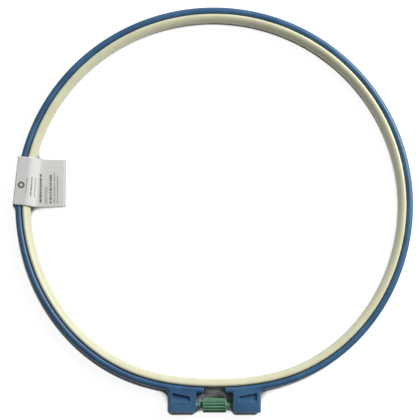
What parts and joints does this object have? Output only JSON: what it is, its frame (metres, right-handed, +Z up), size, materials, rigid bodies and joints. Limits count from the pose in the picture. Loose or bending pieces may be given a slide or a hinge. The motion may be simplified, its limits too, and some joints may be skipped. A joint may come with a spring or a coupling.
{
  "type": "embroidery hoop",
  "caption": "Round plastic embroidery hoop: split outer ring with clamp blocks, closed inner ring, fluted double-ended tightening screw and a folded paper label.",
  "frame": {"origin": "middle of the bounding box at its lowest side, on the table, near the middle of the hoop", "axes": "+Z up through the hoop's thin direction, +X along the tightening screw, -Y from the hoop's middle towards the screw"},
  "size_m": [0.2708, 0.2762, 0.0118],
  "materials": {
    "blue_plastic": "satin injection moulded",
    "cream_plastic": "satin injection moulded",
    "green_plastic": "satin injection moulded",
    "label_paper": "uncoated, printed in grey"
  },
  "bodies": {
    "outer_ring": {"outer_ring": "blue_plastic", "label_lower_leaf": "label_paper"},
    "inner_ring": {"inner_ring": "cream_plastic"},
    "tightening_screw": {"tightening_screw": "green_plastic"},
    "label_upper_leaf": {"label_upper_leaf": "label_paper"}
  },
  "joints": [
    {"name": "inner_ring_lift", "type": "slide", "parent": "outer_ring", "child": "inner_ring", "axis": [0, 0, 1], "range_m": [0, 0.0125]},
    {"name": "screw_turn", "type": "hinge", "parent": "outer_ring", "child": "tightening_screw", "pos_m": [0.0008, -0.13312, 0.0059], "axis": [1, 0, 0], "range_deg": [-1080, 720]},
    {"name": "label_opening", "type": "hinge", "parent": "outer_ring", "child": "label_upper_leaf", "pos_m": [-0.13376, 0.01719, 0.0118], "axis": [-0.1011, -0.9949, 0], "range_deg": [0, 150]}
  ],
  "couplings": [
    {"joint": "label_opening", "follows": "inner_ring_lift", "rad_per_m": 209.4}
  ]
}
